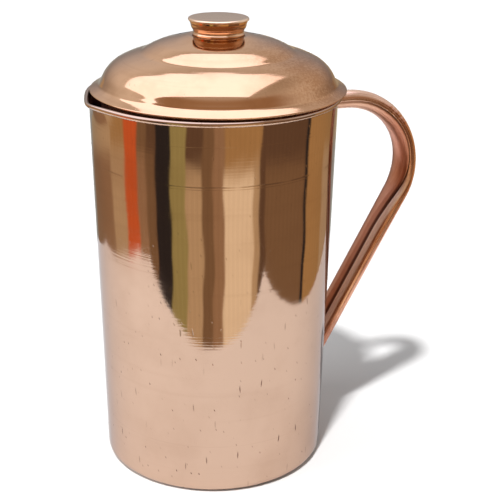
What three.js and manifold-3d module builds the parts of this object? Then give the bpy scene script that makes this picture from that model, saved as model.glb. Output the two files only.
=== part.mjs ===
// Copper water jug with a lift-off lid.
// Millimetres, +Z up. The origin is on the jug's axis, on the surface that it stands on.
// The handle is on the +X side and the pouring lip is opposite it, on the -X side.

import * as THREE from "three";
import { mergeVertices } from "three/addons/utils/BufferGeometryUtils.js";
import Module from "manifold-3d";

const wasm = await Module();
wasm.setup();

// ---------- driving dimensions ----------

const jug = {
  height: 188.8,        // to the crest of the rim bead
  topRadius: 59.8,      // outside of the wall, just under the bead
  bottomRadius: 55.5,   // the same taper carried on to the ground
  sheet: 0.7,
  footFillet: 4.5,      // outside radius of the bottom corner
  footOpening: 47.0,    // radius of the opening that the base disc closes
};

const rim = {
  wireRadius: 0.5,
  wireGap: 0.12,        // between the wire and the sheet curled round it
  curlTurn: 300,        // degrees that the edge turns through
};

const lip = {
  turn: 4.5,            // degrees that it points off the -X direction, towards -Y
  halfAngle: 22.3,      // degrees; the lip's two sides leave the round rim here
  tipRounding: 3.5,     // degrees over which the tip is blunted
  depth: 13.0,          // height of wall that the lip is drawn out of
  flare: 2.4,           // power: more makes the flare start nearer the rim
};

const base = {
  thickness: 0.9,
  seam: 0.3,            // gap between the disc and the foot, under the braze
  brazeHalfWidth: 2.0,
  brazeHeight: 0.9,
};

const grip = {
  bendRadius: 35.0,     // of the handle's middle line
  bendX: 71.3,          // centre of that bend
  bendZ: 143.9,
  insideWall: 12.0,     // the middle line starts and ends inside the wall, and is trimmed to it
  legAngle: 29.5,       // degrees between the lower leg and upright
  legRun: 112.0,
  sheet: 0.9,
  endBreadth: 9.0,      // across the handle where it leaves the rim, nearly round
  legBreadth: 18.4,     // across its flattened lower leg
  flattening: [0.08, 0.46], // the shares of its length between which it flattens
  legThickness: 8.3,
  bendSwell: 1.5,       // how much thicker it is in the bend
  swellAt: 0.3,         // share of its length
  swellSpread: 0.2,
  seamWidth: 1.0,       // open slit where the folded strip's edges meet
  bendSeam: 92,         // degrees from the outer face to the seam, round by the -Y side
  legSeam: 158,
  seamTurning: [0.28, 0.58],
  sectionPower: 2.2,    // 2 is an ellipse, more is squarer
  steps: 30,
};

const braze = {
  upper: [0.02, 0.15],  // the shares of the handle's length that they lie between
  lower: [0.82, 1.0],
  reach: 2.2,           // how far it spreads over the wall, round the handle
  rise: 3.0,            // how far it climbs along the handle
  gap: 0.25,            // to the handle and to the wall
  sink: 0.5,            // its outline ends this far inside the handle's
};

const lid = {
  shift: 2.4,           // it sits pushed towards the handle
  sheet: 0.7,
  brimRadius: 61.4,
  seatGap: 0.3,         // between the locating ring and the rim bead
  knobHole: 2.6,
};

const collar = {
  radius: 56.2,         // outside; it slides in past the wall with the lid pushed over
  flangeRadius: 60.3,
  sheet: 0.6,
  bottom: 182.0,
};

const knob = {
  footZ: 215.8,
  height: 8.2,
  footRadius: 11.6,     // of the sheet's middle line, where the spool stands on the lid
  rimRadius: 14.5,
  rimInset: 1.05,       // from the cap's edge to the sheet's middle line, where it meets the cap
  sheet: 0.6,
  capSheet: 0.6,
  footFlare: 0.5,       // how far the foot's edge is turned out
  swellAt: 0.45,        // share of its height
  swell: 0.62,          // share of its widening that it has reached there
  capSkirt: 0.8,        // how far the cap's edge is turned down over the neck
  capSkirtSheet: 0.45,
  stemRadius: 2.2,
  stemHeadRadius: 4.2,
  stemHeadHeight: 1.2,
  clenchFlare: 0.9,     // how far the riveted end is spread
  clenchHeight: 1.0,
  roveRadius: 5.5,
  roveThickness: 0.9,
};

const roundSegments = 60;
const knobSegments = 36;
const joinGap = 0.3;

const RAD = Math.PI / 180;
const { clamp, lerp, smoothstep } = THREE.MathUtils;

// ---------- materials ----------

const copper = (color, roughness) =>
  new THREE.MeshStandardMaterial({ color, roughness, metalness: 1.0 });

const polished = copper(0xd99a74, 0.12);
const polishedLid = copper(0xd49670, 0.16);
const formed = copper(0xb5664a, 0.3);
const raw = copper(0xa86a4c, 0.45);
const wire = copper(0x8d8578, 0.5);
const filler = copper(0xb9966a, 0.4);

// ---------- outlines ----------

const point = (r, z) => new THREE.Vector2(r, z);

// Points along an arc in the radius-height plane; angles in degrees, 0 pointing outward.
function arc(centreR, centreZ, radius, from, to, count) {
  const points = [];
  for (let i = 0; i <= count; i += 1) {
    const angle = (from + ((to - from) * i) / count) * RAD;
    points.push(point(centreR + radius * Math.cos(angle), centreZ + radius * Math.sin(angle)));
  }
  return points;
}

// A sheet's closed outline: its middle line, thickened to both sides.
function sheetOutline(middle, thickness) {
  const half = thickness / 2;
  const normals = middle.map((p, i) => {
    const before = middle[Math.max(i - 1, 0)];
    const after = middle[Math.min(i + 1, middle.length - 1)];
    const along = after.clone().sub(before).normalize();
    return point(along.y, -along.x);
  });
  const outer = middle.map((p, i) => p.clone().addScaledVector(normals[i], half));
  const inner = middle.map((p, i) => p.clone().addScaledVector(normals[i], -half));
  return [...outer, ...inner.reverse()];
}

function signedArea(points) {
  return points.reduce((sum, p, i) => {
    const q = points[(i + 1) % points.length];
    return sum + (p.x * q.y - q.x * p.y) / 2;
  }, 0);
}

// Turns an outline round the vertical axis. It may close on itself, or start and end on the axis.
// The lathe's own axis is Y, so the result is stood up along Z.
function turned(outline, segments, closed = true) {
  const points = outline.map((p) => p.clone());
  if (closed) {
    if (signedArea(points) < 0) points.reverse();
    points.push(points[0].clone());
  }
  const geometry = new THREE.LatheGeometry(points, segments);
  geometry.rotateX(Math.PI / 2);
  return weld(geometry);
}

// Keeps positions only, with shared corners merged, so that each piece is one closed surface.
function weld(geometry) {
  geometry.deleteAttribute("normal");
  geometry.deleteAttribute("uv");
  const welded = mergeVertices(geometry, 1e-4);
  const kept = [];
  const index = welded.index.array;
  for (let i = 0; i < index.length; i += 3) {
    const [a, b, c] = [index[i], index[i + 1], index[i + 2]];
    if (a !== b && b !== c && c !== a) kept.push(a, b, c);
  }
  welded.setIndex(kept);
  return welded;
}

function moveEachPoint(geometry, move) {
  const position = geometry.attributes.position;
  const p = new THREE.Vector3();
  for (let i = 0; i < position.count; i += 1) {
    move(p.fromBufferAttribute(position, i));
    position.setXYZ(i, p.x, p.y, p.z);
  }
  return geometry;
}

function flipFaces(geometry) {
  const index = geometry.index.array;
  for (let i = 0; i < index.length; i += 3) {
    [index[i], index[i + 1]] = [index[i + 1], index[i]];
  }
  return geometry;
}

// Makes the faces point out, whichever way the sweep turned the section.
function outwards(geometry) {
  const position = geometry.attributes.position;
  const index = geometry.index.array;
  const corner = (i) => new THREE.Vector3().fromBufferAttribute(position, index[i]);
  let volume = 0;
  for (let i = 0; i < index.length; i += 3) {
    volume += corner(i).dot(corner(i + 1).cross(corner(i + 2)));
  }
  return volume < 0 ? flipFaces(geometry) : geometry;
}

// ---------- joining and cutting ----------

function toSolid(geometry) {
  return new wasm.Manifold(
    new wasm.Mesh({
      numProp: 3,
      vertProperties: Float32Array.from(geometry.attributes.position.array),
      triVerts: Uint32Array.from(geometry.index.array),
    }),
  );
}

function toGeometry(solid) {
  const mesh = solid.getMesh();
  const geometry = new THREE.BufferGeometry();
  geometry.setAttribute("position", new THREE.BufferAttribute(mesh.vertProperties, 3));
  geometry.setIndex(new THREE.BufferAttribute(mesh.triVerts, 1));
  return geometry;
}

// ---------- jug body ----------

const taper = (jug.topRadius - jug.bottomRadius) / jug.height;
const wallRadius = (z) => jug.bottomRadius + taper * z;

// The lip is drawn out along two straight sides that are tangent to the round rim.
function drawLip(p) {
  const away = Math.atan2(-p.y, -p.x) / RAD - lip.turn;
  const start = jug.height - lip.depth;
  const radius = Math.hypot(p.x, p.y);
  const blunt = Math.hypot(away, lip.tipRounding);
  if (p.z <= start || blunt >= lip.halfAngle) return;
  const fade = Math.min((p.z - start) / lip.depth, 1) ** lip.flare;
  const stretch = 1 / Math.cos((lip.halfAngle - blunt) * RAD) - 1;
  const scale = 1 + (stretch * fade * jug.topRadius) / radius;
  p.x *= scale;
  p.y *= scale;
}

const curlRadius = rim.wireRadius + rim.wireGap + jug.sheet / 2;
const beadR = wallRadius(jug.height) - jug.sheet / 2 + curlRadius;
const beadZ = jug.height - jug.sheet / 2 - curlRadius;

function bodyWall() {
  const half = jug.sheet / 2;
  const filletR = jug.footFillet - half;
  const cornerR = wallRadius(jug.footFillet) - jug.footFillet;
  const lipRings = 3;
  const middle = [
    point(jug.footOpening, half),
    ...arc(cornerR, jug.footFillet, filletR, -90, 0, 3),
  ];
  for (let i = 0; i <= lipRings; i += 1) {
    const z = lerp(jug.height - lip.depth, beadZ - 1.2, i / lipRings);
    middle.push(point(wallRadius(z) - half, z));
  }
  middle.push(...arc(beadR, beadZ, curlRadius, 180, 180 - rim.curlTurn, 7));
  const geometry = turned(sheetOutline(middle, jug.sheet), roundSegments);
  return moveEachPoint(geometry, drawLip);
}

function rimWire() {
  const section = arc(beadR, beadZ, rim.wireRadius, 0, 300, 5);
  return moveEachPoint(turned(section, roundSegments), drawLip);
}

function baseDisc() {
  const radius = jug.footOpening - base.seam;
  const outline = [
    point(0, 0),
    point(radius, 0),
    point(radius, base.thickness),
    point(0, base.thickness),
  ];
  return turned(outline, roundSegments, false);
}

function baseBraze() {
  const seat = base.thickness + base.seam;
  const middle = jug.footOpening - base.seam / 2;
  const outline = [
    point(middle - base.brazeHalfWidth, seat),
    point(middle + base.brazeHalfWidth, seat),
    point(middle + base.brazeHalfWidth / 3, seat + base.brazeHeight),
    point(middle - base.brazeHalfWidth / 3, seat + base.brazeHeight),
  ];
  return turned(outline, roundSegments);
}

// ---------- handle ----------

const bendTurn = (90 + grip.legAngle) * RAD;
const upperRun = grip.bendX - (jug.topRadius - grip.insideWall);
const bendRun = grip.bendRadius * bendTurn;
const gripLength = upperRun + bendRun + grip.legRun;

// The handle's middle line in the XZ plane: a level run out of the wall, one bend, a straight leg.
// Returns the place and the outward direction, away from the finger space.
function gripFrame(at) {
  const run = at * gripLength;
  const leg = grip.legAngle * RAD;
  if (run < upperRun) {
    const x = grip.bendX - upperRun + run;
    return { x, z: grip.bendZ + grip.bendRadius, outX: 0, outZ: 1 };
  }
  const angle = Math.max(Math.PI / 2 - (run - upperRun) / grip.bendRadius, -leg);
  const past = Math.max(run - upperRun - bendRun, 0);
  const outX = Math.cos(angle);
  const outZ = Math.sin(angle);
  return {
    x: grip.bendX + grip.bendRadius * outX - past * Math.sin(leg),
    z: grip.bendZ + grip.bendRadius * outZ - past * Math.cos(leg),
    outX,
    outZ,
  };
}

// How the section changes along the handle; at goes from 0 inside the rim to 1 inside the wall.
const gripBreadth = (at) =>
  lerp(grip.endBreadth, grip.legBreadth, smoothstep(at, ...grip.flattening));
const gripThickness = (at) =>
  grip.legThickness + grip.bendSwell * Math.exp(-(((at - grip.swellAt) / grip.swellSpread) ** 2));
const gripSeam = (at) => lerp(grip.bendSeam, grip.legSeam, smoothstep(at, ...grip.seamTurning));

// A point of the handle's section: turn in degrees from the outer face towards -Y, and how far
// it lies inside (or, when negative, outside) the section's outline.
function gripPoint(at, turn, inset) {
  const frame = gripFrame(at);
  const power = 2 / grip.sectionPower;
  const across = Math.sign(Math.sin(turn * RAD)) * Math.abs(Math.sin(turn * RAD)) ** power;
  const out = Math.sign(Math.cos(turn * RAD)) * Math.abs(Math.cos(turn * RAD)) ** power;
  const through = out * (gripThickness(at) / 2 - inset);
  const side = across * (gripBreadth(at) / 2 - inset);
  return new THREE.Vector3(
    frame.x + frame.outX * through,
    -side,
    frame.z + frame.outZ * through,
  );
}

// Sweeps a flat section along the handle. The section is drawn as turn (x) against inset (y).
function sweep(section, from, to, steps, shape) {
  const geometry = weld(
    new THREE.ExtrudeGeometry(new THREE.Shape(section), { depth: 1, steps, bevelEnabled: false }),
  );
  return outwards(
    moveEachPoint(geometry, (p) => {
      p.copy(shape(lerp(from, to, p.z), p.x, p.y));
    }),
  );
}

function gripBlank(from, to, steps, outset) {
  const sides = 16;
  const ring = [];
  for (let i = 0; i < sides; i += 1) {
    const turn = (360 * i) / sides;
    ring.push(point(Math.cos(turn * RAD), Math.sin(turn * RAD)));
  }
  const solid = sweep(ring, from, to, steps, (at, x, y) => {
    const turn = Math.atan2(y, x) / RAD;
    const onWall = gripPoint(at, turn, 0);
    return gripPoint(at, turn, -outset(onWall));
  });
  return toSolid(solid);
}

// A folded strip: the section is an open ring whose slit follows the seam along the handle.
function gripStrip() {
  const sides = 16;
  const girth = (Math.PI * (grip.legBreadth + grip.legThickness)) / 2;
  const slit = (grip.seamWidth / girth) * 360;
  const outside = [];
  const inside = [];
  for (let i = 0; i <= sides; i += 1) {
    const turn = slit / 2 + ((360 - slit) * i) / sides;
    outside.push(point(Math.cos(turn * RAD), Math.sin(turn * RAD)));
    inside.push(point(Math.cos(turn * RAD) / 2, Math.sin(turn * RAD) / 2));
  }
  const strip = sweep([...outside, ...inside.reverse()], 0, 1, grip.steps, (at, x, y) => {
    const onOutside = Math.hypot(x, y) > 0.75;
    const turn = Math.atan2(y, x) / RAD + gripSeam(at);
    return gripPoint(at, turn, onOutside ? 0 : grip.sheet);
  });
  return toSolid(strip);
}

// A solid that fills the jug and stands proud of its wall by a gap.
function jugEnvelope(gap) {
  const low = wallRadius(0) + gap;
  const high = jug.height + 20;
  const outline = [point(0, 0), point(low, 0), point(wallRadius(high) + gap, high), point(0, high)];
  return toSolid(turned(outline, roundSegments * 2, false));
}

function handle() {
  return toGeometry(gripStrip().subtract(jugEnvelope(joinGap)));
}

// The braze stands round the handle's end: widest on the wall, thinning to nothing along it.
function handleBraze(from, to) {
  const outset = (p) => {
    const height = Math.hypot(p.x, p.y) - wallRadius(p.z);
    const left = clamp(1 - height / braze.rise, 0, 1);
    return (braze.reach + braze.sink) * left ** 2 - braze.sink;
  };
  const bead = gripBlank(from, to, 14, outset);
  const strip = gripBlank(0, 1, grip.steps, () => braze.gap);
  return toGeometry(bead.subtract(strip).subtract(jugEnvelope(braze.gap)));
}

// ---------- lid ----------

// The lid's outer surface, from the middle outward: flat knob seat, shallow cone, rounded step,
// ledge, dome, hollow fillet and brim.
const lidSkin = new THREE.SplineCurve([
  point(20, 214.3),
  point(26, 212.8),
  point(29, 211.9),
  point(32, 210.6),
  point(34.7, 209.2),
  point(37, 207.8),
  point(39.5, 207.0),
  point(42, 206.2),
  point(45, 205.1),
  point(49, 203.2),
  point(52, 200.9),
  point(54.5, 197.9),
  point(56.3, 194.5),
  point(57.3, 192.7),
  point(58.8, 191.7),
  point(lid.brimRadius, 190.5),
]);

const knobSeat = { radius: 14.8, z: 215.5 };

function lidShell() {
  const half = lid.sheet / 2;
  const skin = [point(lid.knobHole, knobSeat.z), point(knobSeat.radius, knobSeat.z)];
  const skinSteps = 14;
  for (let i = 0; i <= skinSteps; i += 1) skin.push(lidSkin.getPointAt(i / skinSteps));
  const middle = skin.map((p, i) => {
    const before = skin[Math.max(i - 1, 0)];
    const after = skin[Math.min(i + 1, skin.length - 1)];
    const along = after.clone().sub(before).normalize();
    return point(p.x + along.y * half, p.y - along.x * half);
  });
  return turned(sheetOutline(middle, lid.sheet), roundSegments);
}

function lidCollar() {
  const seat = jug.height + lid.seatGap;
  const outer = collar.radius;
  const inner = outer - collar.sheet;
  const outline = [
    point(inner, collar.bottom),
    point(outer, collar.bottom),
    point(outer, seat),
    point(collar.flangeRadius, seat),
    point(collar.flangeRadius, seat + collar.sheet),
    point(inner, seat + collar.sheet),
  ];
  return turned(outline, roundSegments);
}

// A spool that widens from its turned-out foot to the edge under the cap.
function knobNeck() {
  const { footZ, height, footRadius, footFlare, sheet } = knob;
  const half = sheet / 2;
  const top = footZ + height - knob.capSheet - joinGap;
  const mouth = knob.rimRadius - knob.rimInset;
  const side = new THREE.SplineCurve([
    point(footRadius + footFlare, footZ + half),
    point(footRadius + footFlare / 5, footZ + 2 * sheet),
    point(lerp(footRadius, mouth, knob.swell), footZ + height * knob.swellAt),
    point(mouth - half / 3, top - 3 * sheet),
    point(mouth, top - half),
  ]);
  const middle = [point(knob.stemRadius + joinGap, footZ + half), ...side.getPoints(7)];
  return turned(sheetOutline(middle, sheet), knobSegments);
}

// A flat cap with a rounded shoulder, its edge turned down over the neck.
function knobCap() {
  const { rimRadius, capSheet, capSkirt, capSkirtSheet } = knob;
  const top = knob.footZ + knob.height;
  const under = top - capSheet;
  const inner = rimRadius - capSkirtSheet;
  const shoulder = capSheet;
  const outline = [
    point(0, under),
    point(inner, under),
    point(inner, under - capSkirt),
    point(rimRadius - 0.1, under - capSkirt),
    point(rimRadius, under - capSkirt / 2),
    ...arc(rimRadius - shoulder, top - shoulder, shoulder, 0, 90, 4),
    point(0, top),
  ];
  return turned(outline, knobSegments, false);
}

const roveTop = knobSeat.z - lid.sheet - joinGap;
const roveBottom = roveTop - knob.roveThickness;

function knobRivet() {
  const { stemRadius, stemHeadRadius } = knob;
  const headBottom = knob.footZ + knob.sheet + joinGap;
  const headTop = headBottom + knob.stemHeadHeight;
  const clench = roveBottom - joinGap;
  const clenchRadius = stemRadius + knob.clenchFlare;
  const outline = [
    point(0, clench - knob.clenchHeight),
    point(stemRadius, clench - knob.clenchHeight * 0.9),
    point(clenchRadius, clench - knob.clenchHeight / 2),
    point(clenchRadius, clench),
    point(stemRadius, clench),
    point(stemRadius, headBottom),
    point(stemHeadRadius, headBottom),
    point(stemHeadRadius * 0.8, headTop),
    point(0, headTop),
  ];
  return turned(outline, knobSegments / 2, false);
}

function knobRove() {
  const hole = knob.stemRadius + joinGap;
  const outline = [
    point(hole, roveBottom),
    point(knob.roveRadius, roveBottom),
    point(knob.roveRadius, roveTop),
    point(hole, roveTop),
  ];
  return turned(outline, knobSegments / 2);
}

// ---------- assembly ----------

function piece(name, geometry, material) {
  geometry.computeVertexNormals();
  const mesh = new THREE.Mesh(geometry, material);
  mesh.name = name;
  return mesh;
}

const body = new THREE.Group();
body.add(
  piece("body_wall", bodyWall(), polished),
  piece("base_disc", baseDisc(), polished),
  piece("base_braze", baseBraze(), filler),
  piece("rim_wire", rimWire(), wire),
  piece("handle", handle(), formed),
  piece("handle_upper_braze", handleBraze(...braze.upper), filler),
  piece("handle_lower_braze", handleBraze(...braze.lower), filler),
);

const cover = new THREE.Group();
cover.position.x = lid.shift;
cover.add(
  piece("lid_shell", lidShell(), polishedLid),
  piece("lid_collar", lidCollar(), raw),
  piece("knob_neck", knobNeck(), polishedLid),
  piece("knob_cap", knobCap(), polishedLid),
  piece("knob_rivet", knobRivet(), raw),
  piece("knob_rove", knobRove(), raw),
);

const waterJug = new THREE.Group();
waterJug.add(body, cover);

export default waterJug;
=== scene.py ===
"""A copper water jug with a lift-off lid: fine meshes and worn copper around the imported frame.

The frame's axes: +Z up, the handle on +X, the pouring lip on -X. Shapes are worked out in
millimetres and turned into metres when a mesh is made. Lights and cards are in metres.
"""

import math

import bmesh
import bpy
import numpy as np
from mathutils import Matrix, Vector


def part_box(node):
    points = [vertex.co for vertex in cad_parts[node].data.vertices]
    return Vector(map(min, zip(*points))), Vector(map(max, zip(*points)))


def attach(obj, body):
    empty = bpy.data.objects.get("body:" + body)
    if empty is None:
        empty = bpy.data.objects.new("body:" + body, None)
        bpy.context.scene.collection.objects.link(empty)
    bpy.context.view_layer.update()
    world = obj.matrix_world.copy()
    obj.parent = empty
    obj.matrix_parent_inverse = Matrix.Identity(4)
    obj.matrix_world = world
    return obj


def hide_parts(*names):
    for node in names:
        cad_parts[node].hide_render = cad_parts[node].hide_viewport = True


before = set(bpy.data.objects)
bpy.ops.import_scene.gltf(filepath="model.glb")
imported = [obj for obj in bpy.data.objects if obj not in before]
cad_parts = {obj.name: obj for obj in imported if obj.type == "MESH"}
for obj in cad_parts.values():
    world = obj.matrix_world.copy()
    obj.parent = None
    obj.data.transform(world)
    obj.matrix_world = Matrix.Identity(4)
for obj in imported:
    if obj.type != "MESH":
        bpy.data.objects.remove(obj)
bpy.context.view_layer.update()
scene = bpy.context.scene

MM = 0.001


# ---------- camera ----------

HANDLE_TURN = math.radians(21)  # how far the handle points away from the viewer's right
CAMERA_PLACE = (-0.20207, -0.54135, 0.32324)
CAMERA_LENS, CAMERA_SENSOR = 88.17, 36.0  # in millimetres
CAMERA_YAW, CAMERA_PITCH, CAMERA_ROLL = 0.0222, 0.3572, -0.0109  # to the right, down, in radians


def seen(x, y, z=0.0):
    """A point given as the viewer has it (x to the right, y away) in the frame's own axes."""
    c, s = math.cos(HANDLE_TURN), math.sin(HANDLE_TURN)
    return Vector((x * c + y * s, -x * s + y * c, z))


def add_camera():
    data = bpy.data.cameras.new("camera")
    data.sensor_width = CAMERA_SENSOR
    data.lens = CAMERA_LENS
    data.clip_start, data.clip_end = 0.01, 50
    camera = bpy.data.objects.new("camera", data)
    scene.collection.objects.link(camera)
    scene.camera = camera
    yaw, run, roll = CAMERA_YAW, math.cos(CAMERA_PITCH), CAMERA_ROLL
    forward = seen(math.sin(yaw) * run, math.cos(yaw) * run, -math.sin(CAMERA_PITCH))
    level = forward.cross(Vector((0, 0, 1))).normalized()
    above = level.cross(forward)
    right = level * math.cos(roll) - above * math.sin(roll)
    up = level * math.sin(roll) + above * math.cos(roll)
    turn = Matrix((right, up, -forward)).transposed()
    camera.matrix_world = Matrix.Translation(CAMERA_PLACE) @ turn.to_4x4()


add_camera()


# ---------- sizes that the frame gives, in millimetres ----------


def frame_box(node):
    low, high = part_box(node)
    return low / MM, high / MM


shell_low, shell_high = frame_box("lid_shell")
collar_low, collar_high = frame_box("lid_collar")
neck_low, neck_high = frame_box("knob_neck")
cap_low, cap_high = frame_box("knob_cap")
disc_high = frame_box("base_disc")[1]
seam_low, seam_high = frame_box("base_braze")
rivet_low, rivet_high = frame_box("knob_rivet")
rove_low, rove_high = frame_box("knob_rove")

HEIGHT = frame_box("body_wall")[1].z
LID_X = (shell_low.x + shell_high.x) / 2
BRIM_RADIUS = (shell_high.y - shell_low.y) / 2

# ---------- driving dimensions that the frame's boxes don't give, in millimetres ----------

WALL_TOP_RADIUS = 59.8
WALL_BOTTOM_RADIUS = 55.5
WALL_SHEET = 0.7
FOOT_FILLET = 4.5
FOOT_OPENING = 47.0
BEAD_RADIUS = 1.32
BEAD_TURN = 300
LIP_TURN = 4.5
LIP_HALF_ANGLE = 22.3
LIP_ROUNDING = 3.5
LIP_DEPTH = 13.0
LIP_FLARE = 2.4

GRIP_BEND = 35.0
GRIP_X = 71.3
GRIP_Z = 143.9
GRIP_LEG = math.radians(29.5)
GRIP_SHEET = 0.9
GRIP_START = 47.8
GRIP_LEG_RUN = 112.0
GRIP_END_BREADTH = 9.0
GRIP_LEG_BREADTH = 18.4
GRIP_THICKNESS = 8.3
GRIP_BEND_SWELL = 1.5
GRIP_SECTION_POWER = 2.2  # 2 is an ellipse, more is squarer
GRIP_BEND_SEAM = 92  # degrees from the outer face to the seam, round by the -Y side
GRIP_LEG_SEAM = 158

LID_SHEET = 0.7
LID_HOLE = 2.6
LID_SEAT_FLAT = 13.6
KNOB_SEAT_RADIUS = 14.8
COLLAR_RADIUS = 56.2
COLLAR_SHEET = 0.6
KNOB_FOOT_RADIUS = 11.6
KNOB_FOOT_FLARE = 0.5
KNOB_RIM_INSET = 1.05
KNOB_SHEET = 0.6
STEM_RADIUS = 2.2
JOIN_GAP = 0.3


# ---------- mesh making ----------


def new_piece(name, verts, faces, uvs, sharp=40):
    """A smooth-shaded mesh from millimetre points. Edges steeper than sharp degrees stay crisp."""
    mesh = bpy.data.meshes.new(name)
    mesh.from_pydata((np.array(verts, float) * MM).tolist(), [], faces)
    layer = mesh.uv_layers.new(name="run")
    corners = np.zeros(len(mesh.loops), np.int32)
    mesh.loops.foreach_get("vertex_index", corners)
    layer.data.foreach_set("uv", np.array(uvs, np.float32)[corners].ravel())
    work = bmesh.new()
    work.from_mesh(mesh)
    bmesh.ops.recalc_face_normals(work, faces=work.faces)
    work.to_mesh(mesh)
    work.free()
    mesh.polygons.foreach_set("use_smooth", [True] * len(mesh.polygons))
    mesh.set_sharp_from_angle(angle=math.radians(sharp))
    piece = bpy.data.objects.new(name, mesh)
    scene.collection.objects.link(piece)
    return piece


def grid_faces(rows, columns, close_rows=True, first=0):
    """Quads between rows of points. Each row closes on itself, and the last row may meet the first."""
    faces = []
    for i in range(rows if close_rows else rows - 1):
        low, high = i * columns + first, ((i + 1) % rows) * columns + first
        for j in range(columns):
            n = (j + 1) % columns
            faces.append((low + j, low + n, high + n, high + j))
    return faces


def run_lengths(points):
    steps = np.hypot(*np.diff(np.array(points, float), axis=0).T)
    return np.concatenate([[0.0], np.cumsum(steps)])


def turned_row(radius, z, segments, centre_x, move):
    """One row of points round the axis."""
    turns = np.arange(segments) * 2 * math.pi / segments
    points = [(radius * math.cos(t), radius * math.sin(t), z) for t in turns]
    if move:
        points = [move(*p) for p in points]
    return [(x + centre_x, y, h) for x, y, h in points]


def revolve(name, outline, segments=320, centre_x=0.0, move=None):
    """Turns an outline round the upright axis at centre_x. UV is (turn, metres along the outline).

    The outline closes on itself, or starts and ends on the axis.
    """
    on_axis = outline[0][0] == 0
    rows = list(zip(outline, run_lengths(outline) * MM))
    first, last = rows[0], rows[-1]
    turns = np.arange(segments) / segments
    verts, uvs = [], []
    if on_axis:
        verts, uvs = [(centre_x, 0.0, first[0][1])], [(0.0, first[1])]
        rows = rows[1:-1]
    for (radius, z), run in rows:
        verts += turned_row(radius, z, segments, centre_x, move)
        uvs += [(t, run) for t in turns]
    faces = grid_faces(len(rows), segments, not on_axis, first=1 if on_axis else 0)
    if on_axis:
        verts.append((centre_x, 0.0, last[0][1]))
        uvs.append((0.0, last[1]))
        end, last_row = len(verts) - 1, len(verts) - 1 - segments
        for k in range(segments):
            n = (k + 1) % segments
            faces += [(0, 1 + n, 1 + k), (end, last_row + k, last_row + n)]
    return new_piece(name, verts, faces, uvs)


def arc(centre, radius, start, end, count):
    """Points along an arc in the outline plane; degrees, 0 pointing outward."""
    angles = np.radians(np.linspace(start, end, count + 1))
    return [(centre[0] + radius * math.cos(a), centre[1] + radius * math.sin(a)) for a in angles]


def straight(start, end, count):
    return list(zip(np.linspace(start[0], end[0], count + 1), np.linspace(start[1], end[1], count + 1)))


def spline(points, count):
    """A Catmull-Rom curve through the points, with count steps in each span."""
    p = [np.array(q, float) for q in points]
    p = [p[0], *p, p[-1]]
    curve = []
    for a, b, c, d in zip(p, p[1:], p[2:], p[3:]):
        for t in np.arange(count) / count:
            v0, v1 = (c - a) / 2, (d - b) / 2
            bend = (2 * b - 2 * c + v0 + v1) * t**3 + (-3 * b + 3 * c - 2 * v0 - v1) * t**2
            curve.append(tuple(bend + v0 * t + b))
    return [*curve, tuple(p[-1])]


def sheet_sides(middle, thickness):
    """How a sheet's middle line runs, and the step from it to one face."""
    along = np.gradient(middle, axis=0)
    along /= np.linalg.norm(along, axis=1)[:, None]
    return along, np.stack([along[:, 1], -along[:, 0]], axis=1) * thickness / 2


def sheet_outline(middle, thickness, end_steps=6):
    """A sheet's closed outline from its middle line, with both edges rounded."""
    m = np.array(middle, float)
    along, out = sheet_sides(m, thickness)
    first, last = [], []
    for k in range(1, end_steps):
        a = math.pi * k / end_steps
        last.append(m[-1] + out[-1] * math.cos(a) + along[-1] * math.sin(a) * thickness / 2)
        first.append(m[0] - out[0] * math.cos(a) - along[0] * math.sin(a) * thickness / 2)
    return [tuple(q) for q in [*(m + out), *last, *(m - out)[::-1], *first]]


# ---------- jug body ----------


def wall_radius(z):
    return WALL_BOTTOM_RADIUS + (WALL_TOP_RADIUS - WALL_BOTTOM_RADIUS) * z / HEIGHT


def drawn_lip(x, y, z):
    """The lip is drawn out along two straight sides that are tangent to the round rim."""
    away = math.degrees(math.atan2(-y, -x)) - LIP_TURN
    start = HEIGHT - LIP_DEPTH
    blunt = math.hypot(away, LIP_ROUNDING)
    if z <= start or blunt >= LIP_HALF_ANGLE:
        return x, y, z
    fade = min((z - start) / LIP_DEPTH, 1) ** LIP_FLARE
    stretch = 1 / math.cos(math.radians(LIP_HALF_ANGLE - blunt)) - 1
    scale = 1 + stretch * fade * WALL_TOP_RADIUS / math.hypot(x, y)
    return x * scale, y * scale, z


def hand_made(x, y, z):
    """Slight out-of-round waves in the wall, which die out towards the base."""
    angle = math.atan2(y, x)
    wave = math.sin(3 * angle + 0.6) + 0.5 * math.sin(5 * angle + z / 31)
    wave += 0.25 * math.sin(8 * angle - z / 23 + 1.7)
    scale = 1 + 0.0008 * wave * min(z / 40, 1)
    return x * scale, y * scale, z


def wall_skin():
    half = WALL_SHEET / 2
    bead = BEAD_RADIUS - half
    bead_centre = (wall_radius(HEIGHT) - half + bead, HEIGHT - BEAD_RADIUS)
    corner = (wall_radius(FOOT_FILLET) - FOOT_FILLET, FOOT_FILLET)
    foot = straight((FOOT_OPENING, half), (corner[0], half), 5)[:-1]
    fillet = arc(corner, FOOT_FILLET - half, -90, 0, 14)
    lip_start = HEIGHT - LIP_DEPTH
    wall = [(wall_radius(z) - half, z) for z in np.linspace(FOOT_FILLET + 2, lip_start, 40)]
    neck = [(wall_radius(z) - half, z) for z in np.linspace(lip_start + 0.8, HEIGHT - 2, 14)]
    curl = arc(bead_centre, bead, 180, 180 - BEAD_TURN, 30)
    outline = sheet_outline(foot + fillet + wall + neck + curl, WALL_SHEET)
    return revolve("wall_skin", outline, 360, move=lambda *p: drawn_lip(*hand_made(*p)))


def base_plate():
    radius, top, edge = disc_high.x, disc_high.z, 0.25
    outline = [(0, 0), *straight((2, 0), (radius - edge, 0), 12)]
    outline += arc((radius - edge, edge), edge, -80, 0, 4)
    outline += arc((radius - edge, top - edge), edge, 0, 80, 4)
    outline += [*straight((radius - edge, top), (2, top), 12), (0, top)]
    return revolve("base_plate", outline, 160)


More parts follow.
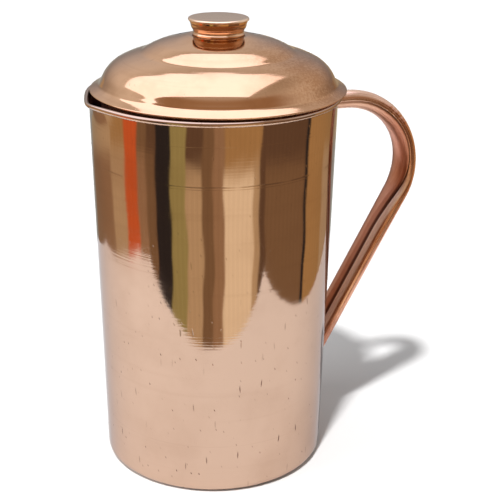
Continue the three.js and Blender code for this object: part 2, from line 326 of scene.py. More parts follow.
def wandering(x, y, z):
    """A hand-laid seam's edge, in and out by a few tenths."""
    angle = math.atan2(y, x)
    scale = 1 + 0.004 * math.sin(17 * angle) + 0.003 * math.sin(41 * angle + 1)
    return x * scale, y * scale, z


def base_seam():
    half = 2.0
    middle, rise = seam_high.x - half, seam_high.z - seam_low.z
    turns = np.linspace(0, math.pi, 13)
    outline = [(middle + half * math.cos(t), seam_low.z + rise * math.sin(t)) for t in turns]
    return revolve("base_seam", outline, 288, move=wandering)


# ---------- handle ----------

UPPER_RUN = GRIP_X - GRIP_START
BEND_RUN = GRIP_BEND * (math.pi / 2 + GRIP_LEG)
GRIP_LENGTH = UPPER_RUN + BEND_RUN + GRIP_LEG_RUN


def eased(value, low, high):
    t = min(max((value - low) / (high - low), 0), 1)
    return t * t * (3 - 2 * t)


def bump_at(value, centre, width):
    return math.exp(-(((value - centre) / width) ** 2))


def grip_frame(at):
    """The handle's middle line at a share of its length: its place and its outward direction."""
    run = at * GRIP_LENGTH
    if run < UPPER_RUN:
        return GRIP_START + run, GRIP_Z + GRIP_BEND, 0.0, 1.0
    angle = max(math.pi / 2 - (run - UPPER_RUN) / GRIP_BEND, -GRIP_LEG)
    past = max(run - UPPER_RUN - BEND_RUN, 0)
    out_x, out_z = math.cos(angle), math.sin(angle)
    x = GRIP_X + GRIP_BEND * out_x - past * math.sin(GRIP_LEG)
    z = GRIP_Z + GRIP_BEND * out_z - past * math.cos(GRIP_LEG)
    return x, z, out_x, out_z


def grip_breadth(at):
    return GRIP_END_BREADTH + (GRIP_LEG_BREADTH - GRIP_END_BREADTH) * eased(at, 0.08, 0.46)


def grip_thickness(at):
    return GRIP_THICKNESS + GRIP_BEND_SWELL * bump_at(at, 0.3, 0.2)


def grip_seam(at):
    """Where the seam runs, in degrees from the outer face."""
    return GRIP_BEND_SEAM + (GRIP_LEG_SEAM - GRIP_BEND_SEAM) * eased(at, 0.28, 0.58)


def grip_point(at, turn, inset=0.0):
    x, z, out_x, out_z = grip_frame(at)
    power = 2 / GRIP_SECTION_POWER
    s, c = math.sin(math.radians(turn)), math.cos(math.radians(turn))
    through = math.copysign(abs(c) ** power, c) * (grip_thickness(at) / 2 - inset)
    side = math.copysign(abs(s) ** power, s) * (grip_breadth(at) / 2 - inset)
    return x + out_x * through, -side, z + out_z * through


def off_wall(point):
    return math.hypot(point[0], point[1]) - wall_radius(point[2])


def grip_crossing(turn, outset, height, low, high):
    """The share of the handle's length where a line along it stands off the wall by height."""
    rising = off_wall(grip_point(high, turn)) > off_wall(grip_point(low, turn))
    for _ in range(30):
        middle = (low + high) / 2
        if (off_wall(grip_point(middle, turn, -outset)) > height) == rising:
            high = middle
        else:
            low = middle
    return (low + high) / 2


UPPER_END = (0.0, 0.2)
LOWER_END = (0.8, 1.0)


def grip_skin():
    """A strip folded to a tube. Its edges meet along the seam, and one laps over the other."""
    around, along, lap_reach, in_sheet = 90, 320, 30.0, -0.35
    starts = [grip_crossing(t + grip_seam(0), 0, in_sheet, *UPPER_END) for t in range(360)]
    ends = [grip_crossing(t + grip_seam(1), 0, in_sheet, *LOWER_END) for t in range(360)]
    verts, uvs = [], []
    for i in range(along):
        for k in range(2 * around):
            outside = k < around
            share = (k if outside else 2 * around - 1 - k) / (around - 1)
            near = int(360 * share) % 360
            at = starts[near] + (ends[near] - starts[near]) * i / (along - 1)
            on_leg = eased(at, 0.40, 0.52)
            opening = eased(at, 0.10, 0.24)
            slit = 0.7 + 1.3 * opening + 4.0 * on_leg
            before = slit / 2 + (360 - slit) * share
            after = 360 - before
            lift = (0.38 * opening - 1.25 * on_leg) * max(1 - before / lap_reach, 0) ** 0.7
            lift += (0.80 * on_leg - 0.55 * opening) * max(1 - after / lap_reach, 0) ** 0.7
            edge = 0.28 * (max(1 - before / 5, 0) ** 2 + max(1 - after / 5, 0) ** 2)
            turn = before + grip_seam(at)
            crease = bump_at(at, 0.24, 0.04) * bump_at((turn + 180) % 360 - 180, 60, 34)
            crease *= 0.30 * math.sin(at * 420 + turn / 11) * math.sin(at * 173 + turn / 40)
            inset = (edge if outside else GRIP_SHEET - edge) - lift - crease
            verts.append(grip_point(at, turn, inset))
            uvs.append((share, at * GRIP_LENGTH * MM))
    faces = grid_faces(along, 2 * around, close_rows=False)
    for row in (0, (along - 1) * 2 * around):
        for k in range(around - 1):
            faces.append((row + k, row + k + 1, row + 2 * around - 2 - k, row + 2 * around - 1 - k))
    return new_piece("grip_skin", verts, faces, uvs, sharp=60)


def grip_fillet(name, reach, rise, end):
    """The braze round one end of the handle, hollow from the wall to the handle."""
    sides, steps = 120, 10
    profile = [(-0.3, rise)]
    for spread in np.linspace(0, 1, steps + 1):
        profile.append((reach * spread, rise * (1 - math.sqrt(spread))))
    profile += [(reach + 0.05, -0.2), (-0.5, -0.2)]
    verts, uvs = [], []
    for outset, height in profile:
        for k in range(sides):
            turn = 360 * k / sides
            uneven = 1 + 0.12 * math.sin(math.radians(3 * turn) + rise)
            uneven += 0.07 * math.sin(math.radians(7 * turn))
            out = outset * uneven if outset > 0 else outset
            stand = height * uneven if height > 0 else height
            at = grip_crossing(turn, out, stand, *end)
            verts.append(grip_point(at, turn, -out))
            uvs.append((k / sides, outset * MM))
    return new_piece(name, verts, grid_faces(len(profile), sides), uvs, sharp=60)


# ---------- lid ----------


def lid_skin():
    """Flat knob seat, shallow cone, rounded step, ledge, dome, hollow fillet and brim."""
    seat = neck_low.z - 0.08
    flat = straight((LID_HOLE, seat), (LID_SEAT_FLAT, seat), 8)[:-1]
    shape = [(LID_SEAT_FLAT, seat), (KNOB_SEAT_RADIUS, seat - 0.05), (20, 214.3), (26, 212.8), (29, 211.9)]
    shape += [(32, 210.6), (34.7, 209.2), (37, 207.8), (39.5, 207.0), (42, 206.2), (45, 205.1), (49, 203.2)]
    shape += [(52, 200.9), (54.5, 197.9), (56.3, 194.5), (57.3, 192.7), (58.8, 191.7)]
    shape.append((BRIM_RADIUS, 190.5))
    skin = np.array(flat + spline(shape, 7))
    under = sheet_sides(skin, LID_SHEET)[1]
    return revolve("lid_skin", sheet_outline(skin + under, LID_SHEET), 360, LID_X)


def collar_ring():
    half = COLLAR_SHEET / 2
    seat, line = collar_high.z - half, COLLAR_RADIUS - half
    flange = (collar_high.y - collar_low.y) / 2
    middle = straight((line, collar_low.z + half), (line, seat - 1), 12)
    middle += arc((line + 1, seat - 1), 1, 180, 90, 6)[1:]
    middle += straight((line + 1.5, seat), (flange - half, seat), 4)
    return revolve("collar_ring", sheet_outline(middle, COLLAR_SHEET), 288, LID_X)


def knob_spool():
    """A spool that widens from its turned-out foot to the edge under the cap."""
    half = KNOB_SHEET / 2
    foot, top, narrow = neck_low.z, neck_high.z, KNOB_FOOT_RADIUS
    mouth = (cap_high.y - cap_low.y) / 2 - KNOB_RIM_INSET
    side = [(narrow + KNOB_FOOT_FLARE + 0.3, foot + half), (narrow + 0.5, foot + 0.6)]
    side += [(narrow + 0.2, foot + 1.1), (narrow + 0.15, foot + 1.8), (narrow + 0.5, foot + 2.7)]
    side += [(narrow + (mouth - narrow) * 0.62, foot + 3.7), (mouth - 0.35, foot + 5.2)]
    side += [(mouth - 0.1, top - 1.1), (mouth, top - half)]
    floor = straight((STEM_RADIUS + JOIN_GAP, foot + half), (narrow - 0.2, foot + half), 10)[:-1]
    return revolve("knob_spool", sheet_outline(floor + spline(side, 8), KNOB_SHEET), 200, LID_X)


def burred(x, y, z):
    """The crimped edge is a little ragged."""
    angle = math.atan2(y, x)
    ragged = 0.5 * math.sin(23 * angle) + 0.5 * math.sin(37 * angle + 2) * math.sin(5 * angle)
    ragged *= eased(math.hypot(x, y), 13.9, 14.3) * eased(cap_high.z - z, 0.6, 1.4)
    return x * (1 + 0.005 * ragged), y * (1 + 0.005 * ragged), z - 0.12 * ragged


def knob_disc():
    """A cap whose edge is rolled over and crimped down on the spool."""
    skirt, high, radius = cap_low.z, cap_high.z, (cap_high.y - cap_low.y) / 2
    low, inner = high - 0.6, radius - 0.45
    outline = [(0, low), *straight((1, low), (inner - 0.3, low), 10)]
    outline += [(inner, low - 0.25), (inner, skirt + 0.2)]
    outline += arc((inner + 0.2, skirt + 0.2), 0.2, 180, 330, 8)
    roll = [(radius - 0.05, skirt + 0.25), (radius, low - 0.35), (radius - 0.10, low + 0.05)]
    roll += [(radius - 0.45, high - 0.27), (radius - 1.2, high - 0.10), (radius * 0.7, high - 0.06)]
    outline += [*spline([*roll, (radius * 0.4, high - 0.02), (1.0, high)], 7), (0, high)]
    return revolve("knob_disc", outline, 200, LID_X, move=burred)


def knob_stem():
    """A rivet: low domed head inside the spool, plain stem, spread end under the lid."""
    low, high = rivet_low.z, rivet_high.z
    head = (rivet_high.y - rivet_low.y) / 2
    spread = low + 1.0
    outline = [(0, low), *arc((STEM_RADIUS, low + 0.5), 0.9, -75, 20, 6), (STEM_RADIUS + 0.85, spread)]
    outline += straight((STEM_RADIUS, spread), (STEM_RADIUS, high - 1.2), 4)
    outline += [(head - 0.1, high - 1.2), (head, high - 1.05)]
    outline += spline([(head - 0.05, high - 0.8), (head * 0.8, high - 0.3), (1.0, high - 0.02)], 5)
    return revolve("knob_stem", [*outline, (0, high)], 72, LID_X)


def knob_washer():
    hole, radius = STEM_RADIUS + JOIN_GAP, (rove_high.y - rove_low.y) / 2
    low, high, edge = rove_low.z, rove_high.z, 0.15
    outline = straight((hole + edge, low), (radius - edge, low), 4)[:-1]
    outline += arc((radius - edge, low + edge), edge, -90, 0, 4)
    outline += arc((radius - edge, high - edge), edge, 0, 90, 4)
    outline += straight((radius - edge, high), (hole + edge, high), 4)[1:-1]
    outline += arc((hole + edge, high - edge), edge, 90, 180, 4)
    outline += arc((hole + edge, low + edge), edge, 180, 250, 4)
    return revolve("knob_washer", outline, 72, LID_X)


# ---------- materials ----------


def add_node(tree, kind, inputs=None, **settings):
    """A node with its settings made and its inputs linked or set."""
    node = tree.nodes.new("ShaderNode" + kind)
    for key, value in settings.items():
        setattr(node, key, value)
    for key, value in (inputs or {}).items():
        if isinstance(value, bpy.types.NodeSocket):
            tree.links.new(value, node.inputs[key])
        else:
            node.inputs[key].default_value = value
    return node


def math_of(tree, operation, a, b=0.0, clamp=False):
    return add_node(tree, "Math", {0: a, 1: b}, operation=operation, use_clamp=clamp).outputs[0]


def in_range(tree, value, low, high, to_low=0.0, to_high=1.0):
    """Eases a value from one range to another."""
    sizes = {"Value": value, "From Min": low, "From Max": high, "To Min": to_low, "To Max": to_high}
    return add_node(tree, "MapRange", sizes, interpolation_type="SMOOTHSTEP").outputs[0]


def mixed(tree, share, a, b):
    return add_node(tree, "Mix", {0: share, 6: a, 7: b}, data_type="RGBA").outputs[2]


def noise(tree, vector, scale, detail=2.0, roughness=0.5):
    inputs = {"Vector": vector, "Scale": scale, "Detail": detail, "Roughness": roughness}
    return add_node(tree, "TexNoise", inputs).outputs[0]


def start_material(name, metallic=1.0):
    material = bpy.data.materials.new(name)
    material.use_nodes = True
    tree = material.node_tree
    tree.nodes.clear()
    surface = add_node(tree, "BsdfPrincipled", {"Metallic": metallic})
    output = add_node(tree, "OutputMaterial")
    tree.links.new(surface.outputs[0], output.inputs[0])
    return material, tree, surface


def turned_place(tree, round_scale, along_scale):
    """Coordinates for marks that run round a turned piece: fine along its outline, long round it."""
    place = add_node(tree, "TexCoord").outputs["Object"]
    split = add_node(tree, "SeparateXYZ", {0: place})
    run = add_node(tree, "SeparateXYZ", {0: add_node(tree, "UVMap", uv_map="run").outputs[0]})
    x = math_of(tree, "MULTIPLY", split.outputs[0], round_scale)
    y = math_of(tree, "MULTIPLY", split.outputs[1], round_scale)
    z = math_of(tree, "MULTIPLY", run.outputs[1], along_scale)
    return add_node(tree, "CombineXYZ", {0: x, 1: y, 2: z}).outputs[0]


def dashes(tree, cell_width, cell_length, share, size, lean=0.0):
    """Short upright scratches and pits: a dash in some of the cells of a stretched net."""
    girth = 0.36
    run = add_node(tree, "SeparateXYZ", {0: add_node(tree, "UVMap", uv_map="run").outputs[0]})
    wobble = noise(tree, add_node(tree, "TexCoord").outputs["Object"], 60)
    drift = math_of(tree, "MULTIPLY", wobble, 0.004)
    drift = math_of(tree, "ADD", drift, math_of(tree, "MULTIPLY", run.outputs[1], lean))
    x = math_of(tree, "ADD", math_of(tree, "MULTIPLY", run.outputs[0], girth), drift)
    x = math_of(tree, "DIVIDE", x, cell_width)
    y = math_of(tree, "DIVIDE", run.outputs[1], cell_length)
    place = add_node(tree, "CombineXYZ", {0: x, 1: y}).outputs[0]
    cells = add_node(tree, "TexVoronoi", {"Vector": place, "Scale": 1.0}, voronoi_dimensions="2D")
    mark = in_range(tree, cells.outputs["Distance"], size * 0.4, size, 1.0, 0.0)
    luck = add_node(tree, "SeparateXYZ", {0: cells.outputs["Color"]})
    chosen = math_of(tree, "LESS_THAN", luck.outputs[0], share)
    strength = math_of(tree, "MULTIPLY", chosen, luck.outputs[1])
    return math_of(tree, "MULTIPLY", mark, strength)


def bumped(tree, height, distance, under=None):
    inputs = {"Height": height, "Distance": distance, "Strength": 1.0}
    if under:
        inputs["Normal"] = under
    return add_node(tree, "Bump", inputs).outputs[0]


def ring_marks(tree, height, rings):
    """Narrow rings scored round the wall, each at a height and broken here and there."""
    place = add_node(tree, "TexCoord").outputs["Object"]
    broken = in_range(tree, noise(tree, place, 55, 2.0), 0.38, 0.55)
    total = 0.0
    for level, half_width, depth in rings:
        away = math_of(tree, "ABSOLUTE", math_of(tree, "SUBTRACT", height, level))
        ring = in_range(tree, away, half_width * 0.4, half_width, depth, 0.0)
        total = math_of(tree, "MAXIMUM", total, ring)
    return math_of(tree, "MULTIPLY", total, broken)


def inner_face(tree, place, height):
    """1 on the faces that look towards the axis, below the rim's bead."""
    flat = add_node(tree, "VectorMath", {0: place, 1: (1, 1, 0)}, operation="MULTIPLY").outputs[0]
    normal = add_node(tree, "NewGeometry").outputs["Normal"]
    outward = add_node(tree, "VectorMath", {0: normal, 1: flat}, operation="DOT_PRODUCT")
    below = in_range(tree, height, (HEIGHT - 4) * MM, (HEIGHT - 3) * MM, 1.0, 0.0)
    return math_of(tree, "MULTIPLY", math_of(tree, "LESS_THAN", outward.outputs["Value"], 0.0), below)


def polished_copper(name, bright, dull, rough, line_depth, scratch_share, tarnish=None, rings=()):
    """Turned and buffed sheet: lines and bands round it, clouds, scratches, pits and scored rings.

    Inside the jug it is left unpolished. tarnish is (x, y, z, radius) of a dull patch, in metres.
    """
    material, tree, surface = start_material(name)
    surface.inputs["Specular Tint"].default_value = (0.62, 0.64, 0.68, 1)
    place = add_node(tree, "TexCoord").outputs["Object"]
    fine = noise(tree, turned_place(tree, 14, 3600), 1.0, 3.0, 0.6)
    combed = noise(tree, turned_place(tree, 16, 900), 1.0, 2.0, 0.6)
    in_patches = in_range(tree, noise(tree, place, 24), 0.42, 0.60, 0.25, 1.0)
    combed = math_of(tree, "MULTIPLY", combed, in_patches)
    broad = noise(tree, turned_place(tree, 9, 260), 1.0, 2.0, 0.5)
    clouds = noise(tree, place, 34, 4.0, 0.6)
    blotches = noise(tree, place, 13, 3.0, 0.55)
    marks = dashes(tree, 0.0056, 0.034, scratch_share, 0.075)
    pits = dashes(tree, 0.0036, 0.009, scratch_share * 0.8, 0.085, lean=0.35)
    height = add_node(tree, "SeparateXYZ", {0: place}).outputs[2]
    low_down = in_range(tree, height, 0.045, 0.12, 1.0, 0.25)
    marks = math_of(tree, "MULTIPLY", math_of(tree, "MAXIMUM", marks, pits), low_down)
    dullness = in_range(tree, clouds, 0.42, 0.72, 0.0, 0.30)
    dullness = math_of(tree, "ADD", dullness, in_range(tree, broad, 0.55, 0.8, 0.0, 0.16))
    dullness = math_of(tree, "ADD", dullness, in_range(tree, blotches, 0.50, 0.66, 0.0, 0.25))
    if tarnish:
        centre = add_node(tree, "VectorMath", {0: place, 1: tarnish[:3]}, operation="DISTANCE")
        patch = in_range(tree, centre.outputs["Value"], tarnish[3] * 0.35, tarnish[3], 1.0, 0.0)
        grain = in_range(tree, noise(tree, place, 900, 3.0, 0.7), 0.35, 0.65, 0.45, 1.0)
        grain = math_of(tree, "MULTIPLY", grain, in_range(tree, clouds, 0.3, 0.5, 0.6, 1.0))
        patch = math_of(tree, "MULTIPLY", patch, grain)
        dullness = math_of(tree, "ADD", dullness, patch, clamp=True)
    if rings:
        marks = math_of(tree, "MAXIMUM", marks, ring_marks(tree, height, rings))
    base = mixed(tree, dullness, bright, dull)
    base = mixed(tree, math_of(tree, "MULTIPLY", marks, 0.85), base, (0.10, 0.045, 0.03, 1))
    inside = inner_face(tree, place, height)
    cloudy = in_range(tree, clouds, 0.35, 0.65)
    unpolished = mixed(tree, cloudy, (0.86, 0.56, 0.42, 1), (0.68, 0.38, 0.26, 1))
    base = mixed(tree, inside, base, unpolished)
    tree.links.new(base, surface.inputs["Base Color"])
    tree.links.new(in_range(tree, inside, 0.0, 1.0, 1.0, 0.5), surface.inputs["Metallic"])
    shine = math_of(tree, "MULTIPLY", in_range(tree, fine, 0.3, 0.75), rough * 0.7)
    shine = math_of(tree, "ADD", shine, math_of(tree, "MULTIPLY", inside, 0.28))
    shine = math_of(tree, "ADD", shine, rough)
    shine = math_of(tree, "ADD", shine, math_of(tree, "MULTIPLY", dullness, 0.12))
    shine = math_of(tree, "ADD", shine, math_of(tree, "MULTIPLY", marks, 0.3))
    tree.links.new(shine, surface.inputs["Roughness"])
    swell = bumped(tree, noise(tree, place, 48, 1.0), 0.00006)
    comb = bumped(tree, combed, line_depth * 8, swell)
    lines = bumped(tree, fine, line_depth, comb)
    ridges = bumped(tree, in_range(tree, broad, 0.62, 0.68), line_depth * 1.5, lines)
    tree.links.new(bumped(tree, marks, -0.00005, ridges), surface.inputs["Normal"])
    return material


def brushed_copper(name, bright, red, deep, burnt, rough):
    """The handle's strip: plain and red on its inner lobe, streaked on its outer one.

    Painted shade darkens one side of the seam and the strip's cut edges; painted highlights lighten the
    edge that stands proud of it and the top end.
    """
    material, tree, surface = start_material(name)
    run = add_node(tree, "UVMap", uv_map="run").outputs[0]
    place = add_node(tree, "TexCoord").outputs["Object"]
    streaked = add_node(tree, "Mapping", {0: run, 3: (95.0, 30.0, 1.0)}).outputs[0]
    streaks = noise(tree, streaked, 1.0, 4.0, 0.65)
    finer = add_node(tree, "Mapping", {0: run, 3: (700.0, 180.0, 1.0)}).outputs[0]
    hairs = noise(tree, finer, 1.0, 3.0)
    clouds = noise(tree, place, 60, 4.0, 0.65)
    split = add_node(tree, "SeparateXYZ", {0: run})
    share, length = split.outputs[0], split.outputs[1]
    lobe = in_range(tree, share, 0.30, 0.55, 0.12, 1.0)
    on_leg = in_range(tree, length, 0.078, 0.100)
    grain = mixed(tree, in_range(tree, streaks, 0.42, 0.60), deep, bright)
    plain = mixed(tree, in_range(tree, clouds, 0.35, 0.7), red, deep)
    base = mixed(tree, lobe, plain, grain)
    stain = in_range(tree, length, 0.150, 0.195)
    stain = math_of(tree, "MULTIPLY", stain, in_range(tree, clouds, 0.46, 0.60))
    base = mixed(tree, math_of(tree, "MULTIPLY", stain, 0.75), base, burnt)
    base = mixed(tree, in_range(tree, clouds, 0.58, 0.8, 0.0, 0.4), base, burnt)
    # Painted highlight on the handle's top end.
    base = mixed(tree, in_range(tree, length, 0.025, 0.060, 0.55, 0.0), base, (0.97, 0.68, 0.50, 1))
    # Painted highlight on the edge that stands proud of the seam on the leg; it is rougher there too.
    proud = in_range(tree, share, 0.905, 0.935)
    proud = math_of(tree, "MULTIPLY", proud, on_leg)
    base = mixed(tree, proud, base, (0.95, 0.74, 0.62, 1))
    # Painted shade in the seam's groove on the leg and along the strip's cut edges, fainter at the top end.
    seam_shade = math_of(tree, "MULTIPLY", in_range(tree, share, 0.020, 0.045, 1.0, 0.0), on_leg)
    first_edge_shade = in_range(tree, share, 0.0, 0.006, 1.0, 0.0)
    edges = math_of(tree, "MAXIMUM", first_edge_shade, in_range(tree, share, 0.990, 0.998))
    edges = math_of(tree, "MULTIPLY", edges, in_range(tree, length, 0.030, 0.050, 0.15, 1.0))
    seam_shade = math_of(tree, "MAXIMUM", seam_shade, edges)
    base = mixed(tree, math_of(tree, "MULTIPLY", seam_shade, 0.9), base, (0.09, 0.035, 0.025, 1))
    tree.links.new(base, surface.inputs["Base Color"])
    shine = math_of(tree, "ADD", math_of(tree, "MULTIPLY", streaks, 0.2), rough - 0.08)
    shine = math_of(tree, "ADD", shine, math_of(tree, "MULTIPLY", stain, 0.2))
    shine = math_of(tree, "ADD", shine, in_range(tree, lobe, 0.0, 1.0, 0.13, 0.0))
    shine = math_of(tree, "ADD", shine, math_of(tree, "MULTIPLY", proud, 0.25))
    tree.links.new(shine, surface.inputs["Roughness"])
    dents = bumped(tree, clouds, 0.00012)
    grooves = bumped(tree, math_of(tree, "MULTIPLY", streaks, lobe), 0.00007, dents)
    tree.links.new(bumped(tree, hairs, 0.000008, grooves), surface.inputs["Normal"])
    return material


def cast_metal(name, light, dark, rough, grain=420, depth=0.00005):
    """Filed braze, raw sheet or drawn wire: mottled, grainy and fairly dull."""
    material, tree, surface = start_material(name)
    place = add_node(tree, "TexCoord").outputs["Object"]
    clouds = noise(tree, place, 110, 4.0, 0.6)
    grains = noise(tree, place, grain, 4.0, 0.7)
    base = mixed(tree, in_range(tree, clouds, 0.35, 0.65), dark, light)
    base = mixed(tree, in_range(tree, grains, 0.55, 0.75, 0.0, 0.5), base, dark)
    tree.links.new(base, surface.inputs["Base Color"])
    shine = math_of(tree, "ADD", math_of(tree, "MULTIPLY", grains, 0.25), rough)
    tree.links.new(shine, surface.inputs["Roughness"])
    tree.links.new(bumped(tree, grains, depth), surface.inputs["Normal"])
    return material


RINGS = [(0.1585, 0.0004, 0.32), (0.1573, 0.0002, 0.16), (0.1768, 0.0002, 0.12), (0.0260, 0.0002, 0.1)]
BODY = polished_copper(
    "body_finish", (0.58, 0.40, 0.30, 1), (0.46, 0.30, 0.215, 1), 0.040, 0.0000016, 0.38, rings=RINGS
)
LID_PATCH = (0.052, -0.022, 0.201, 0.062)
LID = polished_copper(
    "lid_finish", (0.80, 0.48, 0.285, 1), (0.48, 0.23, 0.105, 1), 0.055, 0.0000014, 0.2, LID_PATCH
)
# Brighter than the lid's copper: painted light on the cap's top.
CAP_LIT = polished_copper("cap_lit_finish", (0.97, 0.69, 0.48, 1), (0.66, 0.38, 0.25, 1), 0.14, 0.0000020, 0.2)
GRIP = brushed_copper(
    "grip_finish",
    (0.90, 0.55, 0.39, 1),
    (0.58, 0.26, 0.18, 1),
    (0.52, 0.20, 0.12, 1),
    (0.26, 0.09, 0.06, 1),
    0.24,
)
RAW = cast_metal("raw_copper_finish", (0.60, 0.34, 0.24, 1), (0.36, 0.18, 0.12, 1), 0.30)
BRAZE = cast_metal("braze_finish", (0.66, 0.42, 0.25, 1), (0.34, 0.17, 0.10, 1), 0.28)
WIRE = cast_metal("wire_finish", (0.42, 0.40, 0.37, 1), (0.22, 0.19, 0.16, 1), 0.40)


# ---------- the object ----------


def fit(piece, body, material, node):
    piece.data.materials.append(material)
    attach(piece, body)
    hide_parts(node)


fit(wall_skin(), "jug", BODY, "body_wall")
fit(base_plate(), "jug", BODY, "base_disc")
fit(base_seam(), "jug", BRAZE, "base_braze")
fit(grip_skin(), "jug", GRIP, "handle")
fit(grip_fillet("grip_upper_fillet", 1.9, 2.6, UPPER_END), "jug", BRAZE, "handle_upper_braze")
fit(grip_fillet("grip_lower_fillet", 1.9, 2.6, LOWER_END), "jug", BRAZE, "handle_lower_braze")
fit(lid_skin(), "lid", LID, "lid_shell")
fit(collar_ring(), "lid", RAW, "lid_collar")
fit(knob_spool(), "lid", LID, "knob_neck")
fit(knob_disc(), "lid", CAP_LIT, "knob_cap")
fit(knob_stem(), "lid", RAW, "knob_rivet")
fit(knob_washer(), "lid", RAW, "knob_rove")
wire_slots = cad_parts["rim_wire"].data.materials
wire_slots.clear()
wire_slots.append(WIRE)


# ---------- floor, reflecting cards and lights, in metres ----------


def stage_piece(name, verts, faces, material):
    mesh = bpy.data.meshes.new(name)
    mesh.from_pydata([tuple(v) for v in verts], [], faces)
    mesh.materials.append(material)
    piece = bpy.data.objects.new(name, mesh)
    scene.collection.objects.link(piece)
    return piece


def for_reflections_only(card):
    card.visible_camera = False
    card.visible_diffuse = False
    card.visible_shadow = False
    card.visible_transmission = False
    card.visible_volume_scatter = False


def add_floor():
    material, tree, surface = start_material("floor_finish", metallic=0.0)
    surface.inputs["Roughness"].default_value = 1.0
    surface.inputs["Specular IOR Level"].default_value = 0.0
    surface.inputs["Base Color"].default_value = (0.80, 0.80, 0.80, 1)
    size = 6.0
    corners = [(-size, -size, 0), (size, -size, 0), (size, size, 0), (-size, size, 0)]
    return stage_piece("floor", corners, [(0, 1, 2, 3)], material)


def glowing(name, strength, attribute=None, colour=(1, 1, 1, 1)):
    material = bpy.data.materials.new(name)
    material.use_nodes = True
    tree = material.node_tree
    tree.nodes.clear()
    light = add_node(tree, "Emission", {"Strength": strength, "Color": colour})
    if attribute:
        stored = add_node(tree, "Attribute", attribute_name=attribute)
        tree.links.new(stored.outputs["Color"], light.inputs["Color"])
    output = add_node(tree, "OutputMaterial")
    tree.links.new(light.outputs[0], output.inputs[0])
    return material


# The surroundings that the jug's wall mirrors: plain upright cards round a white floor.
CARD_LIGHT = {
    "soot": (0.04, 0.035, 0.035),
    "umber": (0.18, 0.11, 0.065),
    "brown": (0.29, 0.185, 0.10),
    "taupe": (0.46, 0.30, 0.175),
    "tan": (0.70, 0.54, 0.33),
    "cream": (1.15, 1.02, 0.75),
    "ochre": (0.57, 0.365, 0.155),
    "olive": (0.46, 0.42, 0.17),
    "orange": (0.86, 0.185, 0.055),
    "stone": (0.55, 0.53, 0.46),
}
# Where each card starts, as the direction in which the wall mirrors it, in degrees from the
# viewer to the viewer's right, then its colour and the colour of what hangs over it.
CARDS = [
    (-180, "stone", "stone"),
    (-155, "taupe", "tan"),
    (-110, "tan", "ochre"),
    (-90, "orange", "orange"),
    (-75, "taupe", "brown"),
    (-65, "brown", "umber"),
    (-55, "soot", "soot"),
    (-40, "olive", "olive"),
    (-25, "tan", "umber"),
    (-10, "brown", "brown"),
    (0, "taupe", "taupe"),
    (10, "cream", "ochre"),
    (38, "tan", "ochre"),
    (44, "umber", "umber"),
    (50, "brown", "umber"),
    (95, "soot", "soot"),
    (99, "ochre", "ochre"),
    (125, "tan", "ochre"),
    (150, "stone", "tan"),
]
HANGS_DOWN_TO, HANGS_FROM = 0.157, 0.167  # a card changes between these heights on the wall
CARDS_TALL = 0.20
WALL_MIDDLE_RADIUS = 0.058
EYE_HEIGHT, EYE_TO_WALL = 0.323, 0.52
CARD_EDGE = 1.2


def card_colour(angle, level):
    """The cards' light in a mirrored direction, at the height where the wall shows it."""
    light = np.zeros(3)
    drift = 0.9 * math.sin(level * 95) + 0.6 * math.sin(level * 210 + angle / 9)
    for k, (start, card_name, name_over_it) in enumerate(CARDS):
        end = CARDS[k + 1][0] if k + 1 < len(CARDS) else 180
        if not start - 4 < angle < end + 4:
            continue
        card, over_it = np.array(CARD_LIGHT[card_name]), np.array(CARD_LIGHT[name_over_it])
        begins = 1.0 if k == 0 else eased(angle + drift, start - CARD_EDGE, start + CARD_EDGE)
        over = 0.0 if k + 1 == len(CARDS) else eased(angle + drift, end - CARD_EDGE, end + CARD_EDGE)
        ragged = level + 0.003 * math.sin(k * 2.4)
        here = card + (over_it - card) * eased(ragged, HANGS_DOWN_TO, HANGS_FROM)
        streak = 1 + 0.07 * math.sin(angle * 2.3 + math.sin(level * 60)) * math.sin(angle * 0.9 + k)
        light += here * streak * (begins - over)
    return light


def mirrored_direction(x, y):
    """The direction, from the viewer to the right, in which the wall shows a point on the cards."""
    distance = math.hypot(x, y)
    place = math.atan2(x, -y)
    angle = place
    for _ in range(8):
        angle = place + math.asin(WALL_MIDDLE_RADIUS * math.sin(angle / 2) / distance)
    return math.degrees(angle)


def mirrored_height(x, y, height):
    """The height on the wall where the viewer sees a point on the cards."""
    run = (math.hypot(x, y) - WALL_MIDDLE_RADIUS) / EYE_TO_WALL
    return (height + EYE_HEIGHT * run) / (1 + run)


def add_cards():
    """Upright cards round a white floor, as far off as their lower edges show in the wall."""
    corners = [(-0.17, 0.295), (-0.296, 0.171), (-0.33, 0.0), (-0.33, -0.11), (-0.285, -0.178)]
    corners += [(-0.12, -0.207), (0.12, -0.209), (0.2266, -0.219), (0.25, -0.03), (0.256, 0.30)]
    plan = []
    for a, b in zip(corners, corners[1:] + corners[:1]):
        plan += [(a[0] + (b[0] - a[0]) * t, a[1] + (b[1] - a[1]) * t) for t in np.arange(110) / 110]
    levels = np.linspace(0, 1, 25)
    verts = [seen(x, y, CARDS_TALL * level) for level in levels for x, y in plan]
    faces = grid_faces(len(levels), len(plan), close_rows=False)
    cards = stage_piece("cards", verts, faces, glowing("card_light", 1.0, "band"))
    colours = cards.data.color_attributes.new("band", "FLOAT_COLOR", "POINT")
    for k, (x, y) in enumerate(plan):
        direction = mirrored_direction(x, y)
        for index, level in enumerate(levels):
            colour = card_colour(direction, mirrored_height(x, y, CARDS_TALL * level))
            colours.data[index * len(plan) + k].color = (*colour, 1)
    for_reflections_only(cards)


def add_softbox():
    """A broad light overhead, seen in the lid."""
    near, far, left, right, height = -0.56, 0.64, -1.6, 0.42, 1.0
    corners = [seen(left, near, height), seen(right, near, height)]
    corners += [seen(right, far, height), seen(left, far, height)]
    material = glowing("softbox_light", 1.9, colour=(0.95, 1.0, 1.22, 1))
    softbox = stage_piece("softbox", corners, [(0, 1, 2, 3)], material)
    for_reflections_only(softbox)


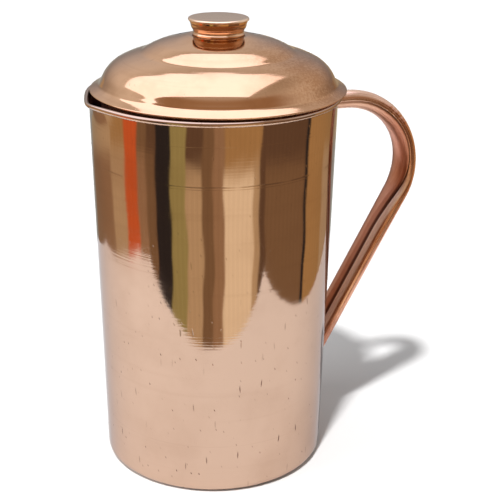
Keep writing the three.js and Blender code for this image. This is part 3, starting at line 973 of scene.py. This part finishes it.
SUN_HEADING = (0.17, 0.53, -1.0)  # as the viewer has it: to the right, away and down
SUN_POWER, SUN_WIDTH = 3.3, math.radians(4.5)
FILL_PLACE, FILL_POWER, FILL_SIZE = (-1.1, -0.4, 0.6), 8.0, 0.8


def add_key_light():
    data = bpy.data.lights.new("key", "SUN")
    data.energy = SUN_POWER
    data.angle = SUN_WIDTH
    key = bpy.data.objects.new("key", data)
    scene.collection.objects.link(key)
    key.rotation_mode = "QUATERNION"
    key.rotation_quaternion = seen(*SUN_HEADING).to_track_quat("-Z", "Y")
    key.visible_glossy = False


def add_fill_light():
    """Lights the floor on the viewer's left a little more than on the right."""
    data = bpy.data.lights.new("fill", "AREA")
    data.energy = FILL_POWER
    data.size = FILL_SIZE
    fill = bpy.data.objects.new("fill", data)
    scene.collection.objects.link(fill)
    fill.location = seen(*FILL_PLACE)
    fill.rotation_mode = "QUATERNION"
    fill.rotation_quaternion = (-fill.location).to_track_quat("-Z", "Y")
    fill.visible_glossy = False


def add_world():
    """A pale room, lightest half way up, brown behind the viewer. It lights the floor evenly."""
    world = bpy.data.worlds.new("room")
    scene.world = world
    world.use_nodes = True
    tree = world.node_tree
    tree.nodes.clear()
    place = add_node(tree, "TexCoord").outputs["Generated"]
    up = add_node(tree, "SeparateXYZ", {0: place}).outputs[2]
    rise = in_range(tree, up, 0.0, 0.42)
    shade = mixed(tree, rise, (0.46, 0.42, 0.38, 1), (0.80, 0.81, 0.83, 1))
    shade = mixed(tree, in_range(tree, up, 0.55, 0.85), shade, (0.50, 0.47, 0.44, 1))
    towards = add_node(tree, "VectorMath", {0: place, 1: -seen(0, 1)}, operation="DOT_PRODUCT")
    front = in_range(tree, towards.outputs["Value"], -0.1, 0.5)
    front = math_of(tree, "MULTIPLY", front, in_range(tree, up, 0.60, 0.85, 1.0, 0.0))
    shade = mixed(tree, front, shade, (0.36, 0.24, 0.155, 1))
    indirect = add_node(tree, "LightPath").outputs["Is Diffuse Ray"]
    shade = mixed(tree, indirect, shade, (0.405, 0.405, 0.41, 1))
    back = add_node(tree, "Background", {"Color": shade, "Strength": 1.0})
    output = add_node(tree, "OutputWorld")
    tree.links.new(back.outputs[0], output.inputs[0])


add_floor()
add_cards()
add_softbox()
add_key_light()
add_fill_light()
add_world()
scene.view_settings.view_transform = "Standard"
